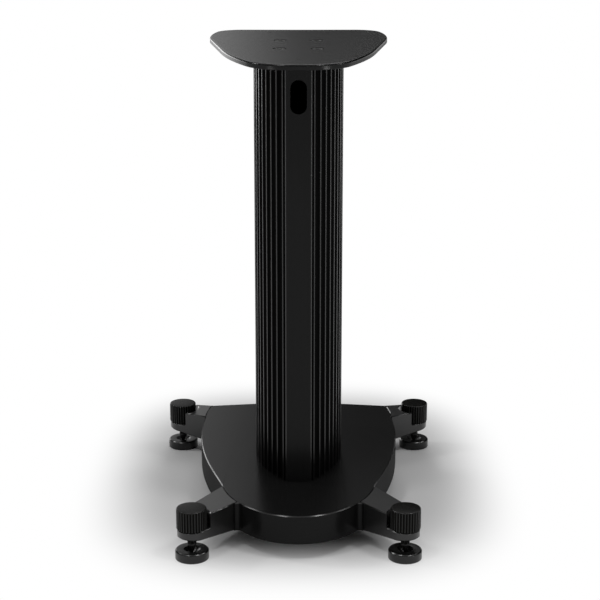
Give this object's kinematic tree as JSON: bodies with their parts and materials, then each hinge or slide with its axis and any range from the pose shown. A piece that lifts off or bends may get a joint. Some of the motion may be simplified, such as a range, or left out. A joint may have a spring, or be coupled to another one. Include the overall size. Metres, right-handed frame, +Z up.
{
  "type": "speaker stand",
  "caption": "Loudspeaker stand with a rounded top plate, a fluted oval column with a cable slot, a thick plinth, splayed arms and levelling spikes on floor discs.",
  "frame": {"origin": "middle of the bounding box, on the floor", "axes": "+Z up, -Y towards the side with the cable slot and the rounded nose, +X to the right seen from that side"},
  "size_m": [0.3944, 0.4555, 0.63],
  "materials": {
    "plate_paint": "satin black",
    "base_paint": "satin black",
    "arm_paint": "satin black",
    "column_anodised": "black anodised extrusion",
    "knob_anodised": "black anodised, slightly brown",
    "disc_anodised": "black anodised, turned cup",
    "spike_steel": "blackened steel",
    "screw_steel": "blackened steel",
    "bush_brass": "machined",
    "pad_rubber": "matt"
  },
  "bodies": {
    "stand": {"top_plate": "plate_paint", "plate_screws": "screw_steel", "column": "column_anodised", "base_plinth": "base_paint", "column_bolts": "screw_steel", "arm_front_left": "arm_paint", "arm_front_right": "arm_paint", "arm_back_left": "arm_paint", "arm_back_right": "arm_paint", "arm_bolts": "screw_steel", "foot_bushes": "bush_brass"},
    "disc_front_left": {"disc_front_left": "disc_anodised", "pad_front_left": "pad_rubber"},
    "screw_front_left": {"spike_front_left": "spike_steel", "knob_front_left": "knob_anodised"},
    "disc_front_right": {"disc_front_right": "disc_anodised", "pad_front_right": "pad_rubber"},
    "screw_front_right": {"spike_front_right": "spike_steel", "knob_front_right": "knob_anodised"},
    "disc_back_left": {"disc_back_left": "disc_anodised", "pad_back_left": "pad_rubber"},
    "screw_back_left": {"spike_back_left": "spike_steel", "knob_back_left": "knob_anodised"},
    "disc_back_right": {"disc_back_right": "disc_anodised", "pad_back_right": "pad_rubber"},
    "screw_back_right": {"spike_back_right": "spike_steel", "knob_back_right": "knob_anodised"}
  },
  "joints": [
    {"name": "lift_front_left", "type": "slide", "parent": "stand", "child": "disc_front_left", "axis": [0, 0, 1], "range_m": [0, 0.0079]},
    {"name": "turn_front_left", "type": "hinge", "parent": "disc_front_left", "child": "screw_front_left", "pos_m": [-0.1365, -0.206, 0.04], "axis": [0, 0, 1], "range_deg": [0, 1620]},
    {"name": "lift_front_right", "type": "slide", "parent": "stand", "child": "disc_front_right", "axis": [0, 0, 1], "range_m": [0, 0.0079]},
    {"name": "turn_front_right", "type": "hinge", "parent": "disc_front_right", "child": "screw_front_right", "pos_m": [0.1365, -0.206, 0.04], "axis": [0, 0, 1], "range_deg": [0, 1620]},
    {"name": "lift_back_left", "type": "slide", "parent": "stand", "child": "disc_back_left", "axis": [0, 0, 1], "range_m": [0, 0.0079]},
    {"name": "turn_back_left", "type": "hinge", "parent": "disc_back_left", "child": "screw_back_left", "pos_m": [-0.1755, 0.204, 0.04], "axis": [0, 0, 1], "range_deg": [0, 1620]},
    {"name": "lift_back_right", "type": "slide", "parent": "stand", "child": "disc_back_right", "axis": [0, 0, 1], "range_m": [0, 0.0079]},
    {"name": "turn_back_right", "type": "hinge", "parent": "disc_back_right", "child": "screw_back_right", "pos_m": [0.1755, 0.204, 0.04], "axis": [0, 0, 1], "range_deg": [0, 1620]}
  ]
}
